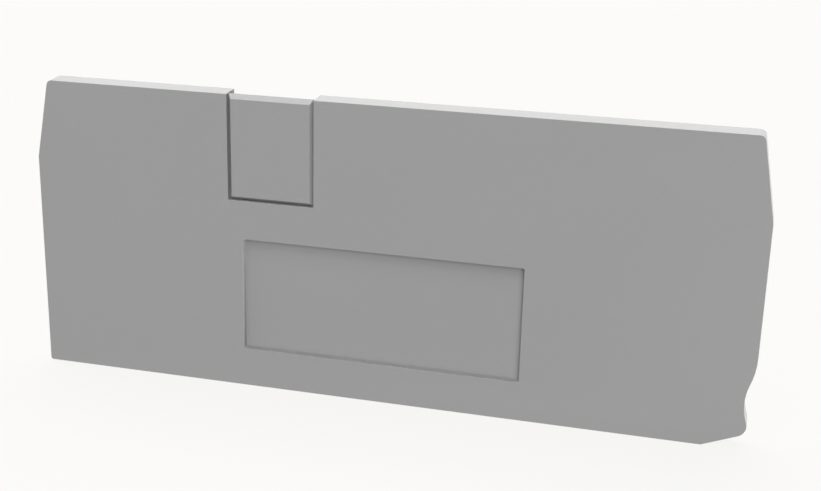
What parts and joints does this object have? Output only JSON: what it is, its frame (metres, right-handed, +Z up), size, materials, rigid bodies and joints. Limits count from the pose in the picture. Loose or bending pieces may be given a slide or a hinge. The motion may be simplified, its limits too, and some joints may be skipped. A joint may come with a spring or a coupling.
{
  "type": "terminal block end cover",
  "caption": "Flat moulded end cover for a rail-mounted terminal block, with a sunk marking field, a scored break-out panel, a rounded toe and press-in pegs on its back.",
  "frame": {"origin": "middle of the lower edge, in the plane where the rim on the back seats on the block", "axes": "+X along the cover towards the end with the toe, +Z up from the lower edge, +Y out of the back, so the outer face looks towards -Y"},
  "size_m": [0.0688, 0.0044, 0.0291],
  "materials": {
    "cover_plastic": "moulded grey polyamide with a fine satin grain"
  },
  "bodies": {
    "root": {"end_cover": "cover_plastic"}
  },
  "joints": []
}
